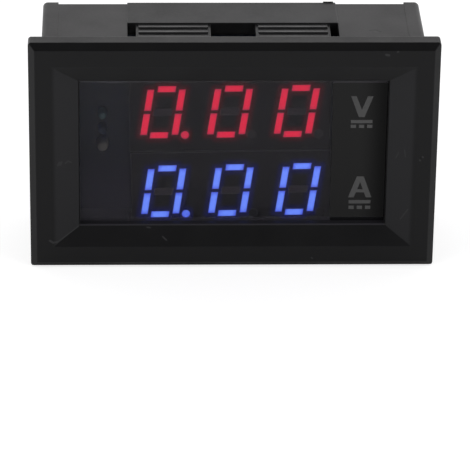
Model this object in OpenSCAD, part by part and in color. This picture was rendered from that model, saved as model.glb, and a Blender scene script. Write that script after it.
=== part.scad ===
// Digital panel meter with two three-digit displays in a snap-in bezel housing.
// The front faces -Y, +Z is up and +X is to the right of someone who reads the display.
// The origin is the centre of the panel seating plane, which is the back of the bezel.

/* [Bezel] */
// Width of the bezel
bezel_w = 48; // [47:0.5:52]
// Height of the bezel
bezel_h = 29; // [28.5:0.5:33]
// Thickness of the bezel in front of the panel
bezel_t = 2.5; // [2.4:0.1:3]
// Chamfer round the front edge of the bezel
bezel_chamfer = 0.75; // [0.3:0.05:1]
// Width of the sloped recess at the front face
recess_w = 42.6; // [40:0.2:44]
// Height of the sloped recess at the front face
recess_h = 23.4; // [21:0.2:25]
// Depth of the slope
recess_d = 1.24; // [0.8:0.02:1.6]
// Width of the window opening
window_w = 36.2; // [30:0.2:37]
// Height of the window opening
window_h = 18.64; // [16:0.02:19]

/* [Housing body] */
// Width of the body behind the panel
body_w = 45; // [45:0.1:46]
// Height of the body over its raised zones
body_h = 26.5; // [26.5:0.1:27]
// Depth of the body behind the panel seat
body_d = 12.85; // [12.4:0.05:16]
// Thickness of the body walls
wall_t = 1.5; // [1.2:0.1:1.6]
// Step between the raised and the relieved zones of the long walls
relief = 0.1; // [0.05:0.05:0.3]

/* [Snap tabs] */
// Width of the slot in each long wall
slot_w = 24.9; // [24:0.1:26]
// Width of one snap tab
tab_w = 8.8; // [7:0.1:9.2]
// Distance from the middle of the body to the middle of a tab
tab_offset = 7.05; // [6:0.05:7.5]
// Number of ratchet teeth on a tab
tab_teeth = 4; // [3:1:5]
// Distance between two ratchet teeth, which is one step of panel thickness
tooth_pitch = 1.46; // [1:0.02:1.5]
// Height of a ratchet tooth
tooth_h = 0.2; // [0.1:0.02:0.4]

/* [Window lens] */
// Thickness of the tinted window lens
lens_t = 1.5; // [1:0.1:1.6]
// Overlap of the lens behind the window opening
lens_overlap = 1.2; // [0.8:0.1:1.3]

/* [Displays] */
// Width of one three-digit display
display_w = 23.8; // [23.5:0.1:24.6]
// Height of one three-digit display
display_h = 10.2; // [10:0.05:10.2]
// Depth of one display
display_d = 6.1; // [5:0.1:6.1]
// Distance between two digits
digit_pitch = 7.9; // [7.6:0.05:8]
// Height of a vertical segment
segment_l = 2.74; // [2.4:0.02:2.8]
// Width of every segment
segment_w = 0.8; // [0.5:0.02:0.9]
// Width of a horizontal segment
segment_across = 2.14; // [1.8:0.02:2.3]
// Lean of the digits to the right, in degrees
digit_slant = 9; // [0:0.5:10]
// Diameter of a decimal point
point_d = 1; // [0.5:0.05:1.1]

/* [Circuit board] */
// Width of the circuit board
board_w = 41.6; // [41:0.1:41.8]
// Height of the circuit board
board_h = 23.1; // [22.6:0.1:23.3]
// Thickness of the circuit board
board_t = 1.6; // [1:0.2:1.6]

/* [Connectors] */
// Number of pins in the signal header
signal_pins = 3; // [3:1:3]
// Pin pitch of the signal header
signal_pitch = 2; // [2:0.05:2.1]
// Height of the signal header above the board
signal_h = 6; // [5.8:0.1:8]
// Pin pitch of the load header
load_pitch = 3.96; // [3.5:0.02:4.2]
// Height of the load header above the board
load_h = 9.4; // [8:0.1:10]

/* [Hidden] */

eps = 0.01;
far = 100;

// Depth stack, measured from the panel seat
lens_front = -bezel_t + 2.2;
lens_back = lens_front + lens_t;
display_front = lens_back + 0.2;
board_front = display_front + display_d;
board_back = board_front + board_t;

// Housing
bezel_corner_r = 0.4;
body_corner_r = 0.6;
window_lip = 0.12;
cavity_w = body_w - 2 * wall_t;
cavity_h = body_h - 2 * wall_t;
lens_gap = 0.1;
lens_w = window_w + 2 * lens_overlap;
lens_h = window_h + 2 * lens_overlap;
centre_zone = slot_w;
end_zone = 20.65;
base_set_back = 0.2;
rail_overrun = 0.1;
slot_back = 6.8;
slot_front = 0.6;
tooth_shift = 0.22;
tab_free = slot_back + tooth_shift - tab_teeth * tooth_pitch;
tab_sink = 0.01;
tab_skirt = 1.05;
tab_root = 0.5;
tab_rim = 0.3;
rim_drop = 0.05;
post_w = 1.6;
post_h = 2.2;
lug_w = 3;
lug_grip = 0.45;
lug_l = 1.3;
nib_x = 11;
nib_w = 1.2;
nib_t = 0.15;
nib_rise = 0.1;

// Displays: middle across and up, turn in degrees as soldered, and size of the digits
VOLTAGE_DISPLAY = [[-0.38, 4.2], 0.5, 1];
CURRENT_DISPLAY = [[-0.15, -6.13], 1, 1.015];
segment_column = 1.855;
segment_row = 2.99;
side_row = 1.57;
point_x = 3.06;
pot_front = display_front + 3.2;
pot_wall = 0.8;
pot_set_back = 0.4;
display_pin = 0.5;
display_pin_pitch = 2.54;
display_pin_row = 3.81;
display_pin_columns = 6;

// Places on the board: across and up, as seen from the front
signal_at = [-15.45, -0.58];
load_at = [15.4, -6.3];
shunt_at = [16.4, 0.9];
voltage_trimmer_at = [-15.6, 8];
current_trimmer_at = [13.6, 7.6];
microcontroller_at = [-2.4, 4.17];
amplifier_at = [-1.4, -6.12];
regulator_at = [-10.2, 8];
diode_at = [-10.1, -8.2];
input_capacitor_at = [-10.1, 2.9];

// Trimmer
rotor_r = 1.45;
rotor_clear = 0.05;
rotor_lift = 0.03;
pivot_r = 0.42;
pivot_clear = 0.03;
well_d = 0.35;
trimmer_w = 4.5;
trimmer_h = 3.8;
trimmer_t = 1.3;

// Headers
signal_w = (signal_pins - 1) * signal_pitch + 3.9;
signal_depth = 4.5;
signal_floor = 1.6;
signal_wall = 0.65;
signal_pin = 0.5;
signal_key = 1;
load_w = load_pitch + 3.9;
load_depth = 8.5;
load_base = 3.4;
load_pin = 1.14;

// Shunt
shunt_r = 0.9;
shunt_span = 5.8;
shunt_bend = 1.7;
shunt_rise = 3.6;

// Chip parts: length, width and height of the two sizes used
small_chip = [1.6, 0.8, 0.5];
large_chip = [2, 1.25, 0.8];
chip_cap = 0.32;
segment_resistors = 7;

// Centre, size and turn of each chip resistor
RESISTORS = concat(
  [for (i = [0 : segment_resistors - 1]) [[2.9 + 1.3 * i, 4.17], small_chip, 90]],
  [for (i = [0 : 3]) [[3.2 + 1.5 * i, -5], small_chip, 90]],
  [[[-7.2, 5.6], small_chip, 90], [[-7.2, 2.8], small_chip, 90], [[9.4, -0.9], large_chip, 0],
   [[-15.8, -8.8], large_chip, 90]]
);
// Centre, size and turn of each chip capacitor
CAPACITORS = [
  [[-10.1, -1], large_chip, 0], [[-10.1, -3.4], large_chip, 0], [[3.2, -7.7], small_chip, 90],
  [[5.8, -7.9], large_chip, 0], [[-6.2, -6.1], large_chip, 90], [[9.4, 8.2], large_chip, 90]
];

// ---- helpers -------------------------------------------------------------------------------

// Rectangle with round corners, centred
module round_rect(w, h, r) {
  square([w - 2 * r, h], center = true);
  square([w, h - 2 * r], center = true);
  for (x = [-1, 1], y = [-1, 1])
    translate([x * (w / 2 - r), y * (h / 2 - r)]) circle(r, $fn = 32);
}

// Raises a front view from depth y0 to depth y1
module prism(y0, y1) {
  translate([0, y1, 0]) rotate([90, 0, 0]) linear_extrude(height = y1 - y0) children();
}

// Sweeps a side view, drawn as depth and height, over a width centred on x
module side_sweep(x, w) {
  translate([x - w / 2, 0, 0]) rotate([90, 0, 90]) linear_extrude(height = w) children();
}

// Solid that has one outline in plan and another in side view, so its corners are mitred
module crossed(plan, side) {
  intersection() {
    linear_extrude(height = far, center = true) polygon(plan);
    rotate([0, 90, 0]) linear_extrude(height = far, center = true) polygon(side);
  }
}

// Stands a piece on the back of the board: its own z axis points away from the board
module on_board(at) {
  translate([at[0], board_back, at[1]]) rotate([-90, 0, 0]) children();
}

// Square post with a pointed tip, from z0 to z1
module post(side, z0, z1) {
  tip = side * 0.6;
  outline = [
    [-side / 2, z0], [side / 2, z0], [side / 2, z1 - tip], [side / 4, z1],
    [-side / 4, z1], [-side / 2, z1 - tip]
  ];
  intersection() {
    rotate([90, 0, 0]) linear_extrude(height = side, center = true) polygon(outline);
    rotate([90, 0, 90]) linear_extrude(height = side, center = true) polygon(outline);
  }
}

// Block on the board, centred on the z axis
module block(w, h, z0, z1) {
  translate([-w / 2, -h / 2, z0]) cube([w, h, z1 - z0]);
}

// ---- housing -------------------------------------------------------------------------------

// Plan of the bezel with its front chamfers
function bezel_profile(size) = [
  [-size / 2, 0], [size / 2, 0], [size / 2, -bezel_t + bezel_chamfer],
  [size / 2 - bezel_chamfer, -bezel_t], [-size / 2 + bezel_chamfer, -bezel_t],
  [-size / 2, -bezel_t + bezel_chamfer]
];

// Half of the plan of the sloped recess, from its mouth to the window edge
function recess_half(mouth, opening) = [
  [mouth / 2, -bezel_t - 1], [mouth / 2, -bezel_t],
  [opening / 2 + window_lip, -bezel_t + recess_d - window_lip / 2],
  [opening / 2, -bezel_t + recess_d + window_lip]
];

// Whole plan of the sloped recess, mirrored from its half
function recess_profile(mouth, opening) =
  let (half = recess_half(mouth, opening), last = len(half) - 1)
  concat(half, [for (i = [last : -1 : 0]) [-half[i][0], half[i][1]]]);

// Plan of the lead-in at the back of the cavity
function lead_in_profile(size) = [
  [-size / 2, body_d - 1], [size / 2, body_d - 1], [size / 2, body_d - 0.5],
  [size / 2 + 0.4, body_d + 0.1], [size / 2 + 0.4, body_d + 1],
  [-size / 2 - 0.4, body_d + 1], [-size / 2 - 0.4, body_d + 0.1], [-size / 2, body_d - 0.5]
];

// Bezel plate, body walls and the raised zones of the long walls
module housing_outside() {
  intersection() {
    prism(-bezel_t, 0) round_rect(bezel_w, bezel_h, bezel_corner_r);
    crossed(bezel_profile(bezel_w), bezel_profile(bezel_h));
  }
  prism(-1, body_d - base_set_back) round_rect(body_w, body_h - 2 * relief, body_corner_r);
  intersection() {
    prism(-1, body_d + rail_overrun) round_rect(body_w, body_h, body_corner_r);
    union() {
      translate([-centre_zone / 2, -1, -far / 2]) cube([centre_zone, body_d + 1, far]);
      for (side = [-1, 1])
        translate([side * (end_zone + far / 2), 0, 0]) cube(far, center = true);
    }
  }
}

// Recess, window, lens pocket and the cavity that holds the displays and the board
module housing_inside() {
  crossed(recess_profile(recess_w, window_w), recess_profile(recess_h, window_h));
  prism(-bezel_t, 0) square([window_w, window_h], center = true);
  prism(lens_front, lens_back + eps)
    square([lens_w + 2 * lens_gap, lens_h + 2 * lens_gap], center = true);
  prism(lens_back, body_d + 1) square([cavity_w, cavity_h], center = true);
  crossed(lead_in_profile(cavity_w), lead_in_profile(cavity_h));
}

// Heights of a snap tab: tooth tips just below the raised zone, so a panel slides over them, and underside
tab_top = body_h / 2 - tab_sink;
tab_bottom = body_h / 2 - tab_skirt;

// Side view of a snap tab's ratchet: each tooth climbs towards the bezel and drops in one step
function ratchet_outline() = concat(
  [[slot_back + tab_root, tab_bottom - 0.2], [tab_free, tab_bottom + 0.1]],
  [for (k = [0 : tab_teeth - 1]) each [
    [tab_free + k * tooth_pitch, tab_top],
    [tab_free + (k + 1) * tooth_pitch, tab_top - tooth_h]
  ]],
  [[slot_back + tab_root, tab_top - tooth_h]]
);

// Side view of the strip that carries the ratchet
function strip_outline() =
  let (top = tab_top - tooth_h - rim_drop)
  [[slot_back + tab_root, tab_bottom - 0.2], [tab_free, tab_bottom + 0.1],
   [tab_free, top], [slot_back + tab_root, top]];

// Two springy tabs in the slot of the upper wall, rooted at its back edge
module snap_tabs() {
  for (side = [-1, 1]) {
    side_sweep(side * tab_offset, tab_w) polygon(strip_outline());
    side_sweep(side * tab_offset, tab_w - 2 * tab_rim) polygon(ratchet_outline());
  }
}

// Corner posts that the circuit board lands on
module board_posts() {
  for (x = [-1, 1], z = [-1, 1])
    translate([x * (cavity_w - post_w) / 2, (lens_front + board_front) / 2,
               z * (cavity_h - post_h) / 2])
      cube([post_w + 2 * eps, board_front - lens_front, post_h + 2 * eps], center = true);
}

// Wedge-shaped lugs on the end walls that hold the board from behind
module board_lugs() {
  back = board_back + 0.05;
  for (side = [-1, 1], z = [-6.2, 6.2])
    translate([side * cavity_w / 2, 0, z]) linear_extrude(height = lug_w, center = true)
      polygon([[side * 0.3, back], [-side * lug_grip, back], [-side * lug_grip, back + 0.3],
               [side * 0.3, back + lug_l + 0.4]]);
}

module housing() {
  color([0.13, 0.13, 0.14]) {
    difference() {
      housing_outside();
      housing_inside();
      for (side = [0, 1])
        mirror([0, 0, side])
          translate([-slot_w / 2, slot_front, body_h / 2 - wall_t - 1])
            cube([slot_w, slot_back - slot_front, wall_t + 2]);
    }
    for (side = [0, 1])
      mirror([0, 0, side]) snap_tabs();
    board_posts();
    board_lugs();
    translate([nib_x, body_d + rail_overrun - nib_t, body_h / 2 - wall_t / 2])
      cube([nib_w, nib_t, wall_t / 2 + nib_rise]);
  }
}

// ---- window lens ---------------------------------------------------------------------------

// Tinted plate that lies behind the window, with its front edges eased
module window_lens() {
  edge = 0.25;
  function lens_profile(size) = [
    [-size / 2, lens_back], [-size / 2, lens_front + edge], [-size / 2 + edge, lens_front],
    [size / 2 - edge, lens_front], [size / 2, lens_front + edge], [size / 2, lens_back]
  ];
  color([0.16, 0.16, 0.2, 0.5]) crossed(lens_profile(lens_w), lens_profile(lens_h));
}

// ---- displays ------------------------------------------------------------------------------

// Leans a point of an upright digit to the right
function lean(p) = [p[0] + p[1] * tan(digit_slant), p[1]];

// Outline of one segment of size w by h round centre c
function segment(c, w, h) = [
  lean(c + [-w / 2, -h / 2]), lean(c + [w / 2, -h / 2]),
  lean(c + [w / 2, h / 2]), lean(c + [-w / 2, h / 2])
];

// Seven segments and the decimal point of one digit
module digit_outline() {
  for (x = [-1, 1], z = [-1, 1])
    polygon(segment([x * segment_column, z * side_row], segment_w, segment_l));
  for (z = [-1 : 1])
    polygon(segment([0, z * segment_row], segment_across, segment_w));
  translate(lean([point_x, -segment_row])) circle(d = point_d, $fn = 32);
}

// The three digits of one display
module digits_outline() {
  for (i = [-1 : 1])
    translate([i * digit_pitch, 0]) digit_outline();
}

// Puts a display's pieces at its place and turn
module at_display(display) {
  translate([display[0][0], 0, display[0][1]]) rotate([0, -display[1], 0]) children();
}

// Places of the pins of one display
PIN_PLACES = [
  for (i = [0 : display_pin_columns - 1], z = [-1, 1])
    [(i - (display_pin_columns - 1) / 2) * display_pin_pitch, z * display_pin_row]
];

// Outline of the pins of one display
module pins_outline() {
  for (place = PIN_PLACES)
    translate(place) square(display_pin, center = true);
}

// Black frame whose openings guide the light of each segment
module display_shell(display) {
  color([0.1, 0.1, 0.11]) at_display(display) difference() {
    prism(display_front, board_front) square([display_w, display_h], center = true);
    prism(display_front - 1, pot_front + eps) scale(display[2]) digits_outline();
    prism(pot_front, board_front + 1)
      square([display_w - 2 * pot_wall, display_h - 2 * pot_wall], center = true);
  }
}

// Cast resin that fills the openings and seals the back of the frame
module display_segments(display, tint) {
  color(tint) at_display(display) difference() {
    union() {
      prism(display_front, pot_front + eps) scale(display[2]) digits_outline();
      prism(pot_front, board_front - pot_set_back)
        square([display_w - 2 * pot_wall, display_h - 2 * pot_wall], center = true);
    }
    prism(pot_front + 1, board_front) pins_outline();
  }
}

// Pins of one display, from the resin through the board
module display_pins(display) {
  color([0.75, 0.75, 0.76]) at_display(display) prism(pot_front + 1, board_back + 0.9) pins_outline();
}

module voltage_display_shell() { display_shell(VOLTAGE_DISPLAY); }
module voltage_display_segments() { display_segments(VOLTAGE_DISPLAY, [0.9, 0.15, 0.25]); }
module voltage_display_pins() { display_pins(VOLTAGE_DISPLAY); }
module current_display_shell() { display_shell(CURRENT_DISPLAY); }
module current_display_segments() { display_segments(CURRENT_DISPLAY, [0.4, 0.5, 1]); }
module current_display_pins() { display_pins(CURRENT_DISPLAY); }

// ---- circuit board -------------------------------------------------------------------------

// Round hole through the board
module drill(at, d) {
  translate([at[0], board_front - 1, at[1]]) rotate([-90, 0, 0])
    cylinder(d = d, h = board_t + 2, $fn = 24);
}

module circuit_board() {
  color([0.08, 0.2, 0.38]) difference() {
    prism(board_front, board_back) round_rect(board_w, board_h, 0.4);
    for (display = [VOLTAGE_DISPLAY, CURRENT_DISPLAY], place = PIN_PLACES)
      at_display(display) drill(place, 0.8);
    for (i = [0 : signal_pins - 1])
      drill(signal_at + [0, (i - (signal_pins - 1) / 2) * signal_pitch], 0.8);
    for (side = [-1, 1]) {
      drill(load_at + [0, side * load_pitch / 2], 1.7);
      drill(shunt_at + [side * shunt_span / 2, 0], 2 * shunt_r + 0.2);
    }
  }
}

// ---- parts on the board --------------------------------------------------------------------

// Side view of a bent lead, from the body side outwards
function gull_outline(inner, outer, rise, foot, t) = [
  [inner, rise], [inner, rise + t], [outer - foot + t, rise + t], [outer - foot + 1.6 * t, t],
  [outer, t], [outer, 0], [outer - foot + 0.6 * t, 0], [outer - foot, rise]
];

// Two rows of bent leads along the sides of a moulded package
module gull_leads(count, pitch, body_half, reach, rise, w) {
  for (side = [0, 1], i = [0 : count / 2 - 1])
    mirror([0, side, 0]) translate([(i - (count / 2 - 1) / 2) * pitch - w / 2, 0, 0])
      rotate([90, 0, 90]) linear_extrude(height = w)
        polygon(gull_outline(body_half, reach, rise, 0.6, 0.15));
}

// Moulded package with drafted sides and a pin-one dimple
module package(w, h, z0, z1) {
  mid = (z0 + z1) / 2;
  draft = 0.12;
  function drafted(size) = [
    [-size / 2 + draft, z0], [size / 2 - draft, z0], [size / 2, mid],
    [size / 2 - draft, z1], [-size / 2 + draft, z1], [-size / 2, mid]
  ];
  difference() {
    intersection() {
      rotate([90, 0, 0]) linear_extrude(height = h, center = true) polygon(drafted(w));
      rotate([90, 0, 90]) linear_extrude(height = w, center = true) polygon(drafted(h));
    }
    translate([-w / 2 + 0.8, h / 2 - 0.8, z1 - 0.1]) cylinder(r = 0.3, h = 1, $fn = 24);
  }
}

module microcontroller() {
  color([0.08, 0.08, 0.09]) on_board(microcontroller_at) package(6.5, 4.4, 0.1, 1.1);
}

module microcontroller_leads() {
  color([0.75, 0.75, 0.76]) on_board(microcontroller_at) gull_leads(20, 0.65, 2.2, 3.1, 0.52, 0.24);
}

module amplifier() {
  color([0.08, 0.08, 0.09]) on_board(amplifier_at) package(4.9, 3.9, 0.15, 1.5);
}

module amplifier_leads() {
  color([0.75, 0.75, 0.76]) on_board(amplifier_at) gull_leads(8, 1.27, 1.95, 3, 0.75, 0.42);
}

module regulator() {
  color([0.08, 0.08, 0.09]) on_board(regulator_at) package(4.5, 2.5, 0.36, 1.5);
}

// Three flat leads and the wide cooling tab of the regulator
module regulator_leads() {
  color([0.75, 0.75, 0.76]) on_board(regulator_at) {
    for (x = [-1.5, 0, 1.5])
      translate([x - 0.22, 0.6, 0]) cube([0.44, 1.6, 0.36]);
    translate([-0.9, -1.9, 0]) cube([1.8, 2.4, 0.36]);
  }
}

module diode() {
  color([0.08, 0.08, 0.09]) on_board(diode_at) rotate([0, 0, 90]) package(4.3, 2.6, 0.2, 2.2);
}

// Leads that wrap under both ends of a moulded two-terminal part
module end_leads(l, w, rise) {
  for (side = [0, 1])
    mirror([side, 0, 0]) rotate([90, 0, 0]) linear_extrude(height = w, center = true)
      polygon([[l / 2 - 0.9, 0], [l / 2 + 0.35, 0], [l / 2 + 0.35, rise], [l / 2, rise],
               [l / 2, rise - 0.2], [l / 2 + 0.15, rise - 0.2], [l / 2 + 0.15, 0.2],
               [l / 2 - 0.9, 0.2]]);
}

module diode_leads() {
  color([0.75, 0.75, 0.76]) on_board(diode_at) rotate([0, 0, 90]) end_leads(4.3, 1.45, 1.3);
}

module input_capacitor() {
  color([0.85, 0.55, 0.15]) on_board(input_capacitor_at) rotate([0, 0, 90])
    package(3.5, 2.8, 0.2, 1.9);
}

module input_capacitor_leads() {
  color([0.75, 0.75, 0.76]) on_board(input_capacitor_at) rotate([0, 0, 90])
    end_leads(3.5, 2.2, 1.15);
}

// Bodies of chip parts, between their end caps
module chip_bodies(chips) {
  for (c = chips)
    on_board(c[0]) rotate([0, 0, c[2]]) block(c[1][0] - 2 * chip_cap, c[1][1], 0, c[1][2]);
}

module chip_resistors() { color([0.1, 0.1, 0.11]) chip_bodies(RESISTORS); }
module chip_capacitors() { color([0.62, 0.5, 0.36]) chip_bodies(CAPACITORS); }

// Plated caps on both ends of every chip part
module chip_end_caps() {
  color([0.78, 0.78, 0.78]) for (c = concat(RESISTORS, CAPACITORS), side = [-1, 1])
    on_board(c[0]) rotate([0, 0, c[2]]) translate([side * (c[1][0] - chip_cap) / 2, 0, 0])
      block(chip_cap, c[1][1], 0, c[1][2]);
}

// Thick resistance wire, bent to a bridge, that carries the measured current
module shunt_wire() {
  half = shunt_span / 2;
  color([0.72, 0.62, 0.5]) on_board(shunt_at) {
    for (side = [0, 1])
      mirror([side, 0, 0]) {
        translate([half, 0, -board_t - 0.7])
          cylinder(r = shunt_r, h = board_t + 0.7 + shunt_rise - shunt_bend, $fn = 32);
        translate([half - shunt_bend, 0, shunt_rise - shunt_bend]) rotate([90, 0, 0])
          rotate_extrude(angle = 90, $fn = 48) translate([shunt_bend, 0]) circle(shunt_r, $fn = 32);
      }
    translate([shunt_bend - half, 0, shunt_rise]) rotate([0, 90, 0])
      cylinder(r = shunt_r, h = shunt_span - 2 * shunt_bend, $fn = 32);
  }
}

// ---- trimmers ------------------------------------------------------------------------------

// Base with a well for the rotor and a bore for its pivot
module trimmer_base() {
  difference() {
    block(trimmer_w - 0.4, trimmer_h, 0.1, trimmer_t);
    translate([0, 0, trimmer_t - well_d]) cylinder(r = rotor_r + rotor_clear, h = 1, $fn = 48);
    cylinder(r = pivot_r + pivot_clear, h = trimmer_t, $fn = 32);
    for (x = [-1, 1], y = [-1, 1])
      translate([x * trimmer_w / 2 * 0.91, y * trimmer_h / 2, 0]) rotate([0, 0, 45])
        cube([0.7, 0.7, 4], center = true);
  }
}

// Turning wiper with a crossed screwdriver slot
module trimmer_rotor() {
  floor_z = trimmer_t - well_d + rotor_lift;
  difference() {
    union() {
      translate([0, 0, floor_z]) cylinder(r = rotor_r, h = 0.75, $fn = 48);
      translate([0, 0, 0.3]) cylinder(r = pivot_r, h = floor_z, $fn = 32);
    }
    for (turn = [0, 90])
      rotate([0, 0, turn]) translate([0, 0, floor_z + 0.75]) cube([2.1, 0.42, 0.8], center = true);
  }
}

// Solder terminals folded round the ends of the base
module trimmer_terminals() {
  end_x = trimmer_w / 2 - 0.2;
  for (at = [[0, -1.05, 0.9], [0, 1.05, 0.9], [1, 0, 1.5]])
    mirror([at[0], 0, 0]) translate([0, at[1], 0]) rotate([90, 0, 0])
      linear_extrude(height = at[2], center = true)
        polygon([[end_x - 0.8, 0], [end_x + 0.2, 0], [end_x + 0.2, 1], [end_x, 1],
                 [end_x, 0.1], [end_x - 0.8, 0.1]]);
}

module voltage_trimmer_base() {
  color([0.85, 0.86, 0.86]) on_board(voltage_trimmer_at) trimmer_base();
}
module voltage_trimmer_terminals() {
  color([0.75, 0.75, 0.76]) on_board(voltage_trimmer_at) trimmer_terminals();
}
module voltage_trimmer_rotor() {
  color([0.8, 0.78, 0.7]) on_board(voltage_trimmer_at) trimmer_rotor();
}
module current_trimmer_base() {
  color([0.85, 0.86, 0.86]) on_board(current_trimmer_at) trimmer_base();
}
module current_trimmer_terminals() {
  color([0.75, 0.75, 0.76]) on_board(current_trimmer_at) trimmer_terminals();
}
module current_trimmer_rotor() {
  color([0.8, 0.78, 0.7]) on_board(current_trimmer_at) trimmer_rotor();
}

// ---- headers -------------------------------------------------------------------------------

// Shroud of the signal header: open box with two keying slots and a cut in each end
module signal_header_shroud() {
  inner_x = signal_depth - 2 * signal_wall;
  inner_y = signal_w - 2 * signal_wall;
  color([0.93, 0.91, 0.86]) on_board(signal_at) difference() {
    block(signal_depth, signal_w, 0, signal_h);
    block(inner_x, inner_y, signal_floor, signal_h + 1);
    for (side = [-1, 1])
      translate([signal_depth / 2, side * (signal_w / 2 - 1.9), signal_floor + 4.3])
        cube([3, signal_key, 6], center = true);
    translate([-0.5, 0, signal_h]) cube([1.6, signal_w + 1, 4.4], center = true);
    for (i = [0 : signal_pins - 1])
      translate([0, (i - (signal_pins - 1) / 2) * signal_pitch, signal_floor / 2])
        cube([signal_pin, signal_pin, signal_floor + 1], center = true);
  }
}

module signal_header_pins() {
  color([0.8, 0.79, 0.75]) on_board(signal_at)
    for (i = [0 : signal_pins - 1])
      translate([0, (i - (signal_pins - 1) / 2) * signal_pitch, 0])
        post(signal_pin, -board_t - 1.2, signal_h - 1);
}

// Shroud of the load header: deep base, a tall locking wall and two low end cheeks
module load_header_shroud() {
  color([0.93, 0.91, 0.86]) on_board(load_at) difference() {
    union() {
      block(load_depth, load_w, 0, load_base);
      translate([load_depth / 2 - 1.3, -load_w / 2, 0]) cube([1.3, load_w, load_h]);
      translate([load_depth / 2 - 2, 0, 0]) rotate([90, 0, 0])
        linear_extrude(height = 3.2, center = true)
          polygon([[0.8, load_h - 0.2], [0, load_h - 1.4], [0.3, load_h - 1.9], [0.8, load_h - 2.2]]);
      for (side = [-1, 1])
        translate([0, side * (load_w / 2 - 0.45), load_base / 2 + 1])
          cube([load_depth, 0.9, load_base + 2], center = true);
    }
    translate([-load_depth / 2, 0, load_base]) rotate([0, 45, 0])
      cube([1.1, load_w + 1, 1.1], center = true);
    for (side = [-1, 1])
      translate([0, side * load_pitch / 2, load_base / 2])
        cube([load_pin, load_pin, load_base + 1], center = true);
  }
}

module load_header_pins() {
  color([0.8, 0.79, 0.75]) on_board(load_at)
    for (side = [-1, 1])
      translate([0, side * load_pitch / 2, 0]) post(load_pin, -board_t - 1.4, load_h - 0.8);
}

housing();
window_lens();
voltage_display_shell();
voltage_display_segments();
voltage_display_pins();
current_display_shell();
current_display_segments();
current_display_pins();
circuit_board();
microcontroller();
microcontroller_leads();
amplifier();
amplifier_leads();
regulator();
regulator_leads();
diode();
diode_leads();
input_capacitor();
input_capacitor_leads();
chip_resistors();
chip_capacitors();
chip_end_caps();
shunt_wire();
voltage_trimmer_base();
voltage_trimmer_terminals();
voltage_trimmer_rotor();
current_trimmer_base();
current_trimmer_terminals();
current_trimmer_rotor();
signal_header_shroud();
signal_header_pins();
load_header_shroud();
load_header_pins();
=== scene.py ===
"""Looks of the digital panel meter: finishes, lit digits, printed unit signs, solder and copper."""

import math
import random

import bmesh
import bpy
from mathutils import Matrix, Vector


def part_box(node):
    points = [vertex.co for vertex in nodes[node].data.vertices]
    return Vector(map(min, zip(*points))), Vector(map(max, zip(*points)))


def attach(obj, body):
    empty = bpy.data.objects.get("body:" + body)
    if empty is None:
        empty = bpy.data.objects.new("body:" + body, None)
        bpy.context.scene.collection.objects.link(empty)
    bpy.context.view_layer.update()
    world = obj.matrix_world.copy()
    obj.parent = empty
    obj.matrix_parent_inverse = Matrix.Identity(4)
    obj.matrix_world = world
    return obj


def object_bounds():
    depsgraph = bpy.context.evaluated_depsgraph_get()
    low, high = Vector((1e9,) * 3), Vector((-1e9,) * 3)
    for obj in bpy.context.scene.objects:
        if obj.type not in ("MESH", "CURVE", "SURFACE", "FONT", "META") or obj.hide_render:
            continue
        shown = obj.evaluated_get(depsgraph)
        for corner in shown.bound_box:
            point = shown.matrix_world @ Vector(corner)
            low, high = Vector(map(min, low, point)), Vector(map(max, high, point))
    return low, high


MM = 0.001

# Camera: place in metres, turn in degrees, and lens in millimetres
CAMERA_AT = (-0.01311, -0.37136, 0.17829)
CAMERA_YAW = -2.079
CAMERA_PITCH = 27.045
CAMERA_ROLL = 0.807
CAMERA_LENS = 267.15

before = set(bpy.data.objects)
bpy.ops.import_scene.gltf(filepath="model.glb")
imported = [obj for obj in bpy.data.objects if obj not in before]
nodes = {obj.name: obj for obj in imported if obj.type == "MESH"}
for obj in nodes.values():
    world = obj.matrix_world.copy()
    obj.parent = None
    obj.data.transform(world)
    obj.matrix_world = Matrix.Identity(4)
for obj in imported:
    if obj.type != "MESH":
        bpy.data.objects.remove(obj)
cad_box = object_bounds()
METER = "meter"

# Digits of one display, in millimetres round the middle of its front
DIGIT_PITCH = 7.9
DIGIT_LEAN = math.tan(math.radians(9))
SEGMENT_HALF = 0.4
SIDE_AT = (1.855, 1.57)
SIDE_HALF_LENGTH = 1.37
BAR_AT = 2.99
BAR_HALF_LENGTH = 1.07
POINT_AT = (3.06, -2.99)
POINT_RADIUS = 0.5
MIDDLE_BAR_HALF = 0.7

# Colours, linear
BLACK_PLASTIC = (0.0060, 0.0060, 0.0064, 1)
# Painted highlight along the edges of the housing
HOUSING_EDGE_HIGHLIGHT = (0.020, 0.020, 0.021, 1)
# Painted highlights along the lower and upper lip of the window
LOWER_LIP_HIGHLIGHT = (0.026, 0.025, 0.029, 1)
UPPER_LIP_HIGHLIGHT = (0.026, 0.024, 0.028, 1)
# Painted light on the ledge under the window
LEDGE_PAINTED_LIGHT = (0.015, 0.0145, 0.017, 1)
# Painted shade on the downward faces under the recess
UNDERSIDE_SHADE = (0.0008, 0.0008, 0.0009, 1)
# Painted shade on the rim of the bezel
RIM_SHADE = (0.0018, 0.0018, 0.0019, 1)
# Painted light on the upward faces at the ends of the body
END_PAINTED_LIGHT = (0.0140, 0.0135, 0.0140, 1)
LIGHT_MARK = (0.027, 0.027, 0.028, 1)
DARK_MARK = (0.0004, 0.0004, 0.0004, 1)
CLEAR_TONE = (0.0006, 0.0008, 0.0075, 1)
DEEP_TONE = (0.0012, 0.0009, 0.0042, 1)
BLACK_INK = (0.0010, 0.0010, 0.0010, 1)
# Painted light over the lower left of the window
LOWER_LEFT_PAINTED_LIGHT = (0.020, 0.018, 0.030, 1)
# Painted highlight along the upper edge of the window, stronger at its left
TOP_LEFT_EDGE_HIGHLIGHT = (0.085, 0.080, 0.098, 1)
TOP_EDGE_HIGHLIGHT = (0.036, 0.034, 0.040, 1)
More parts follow.
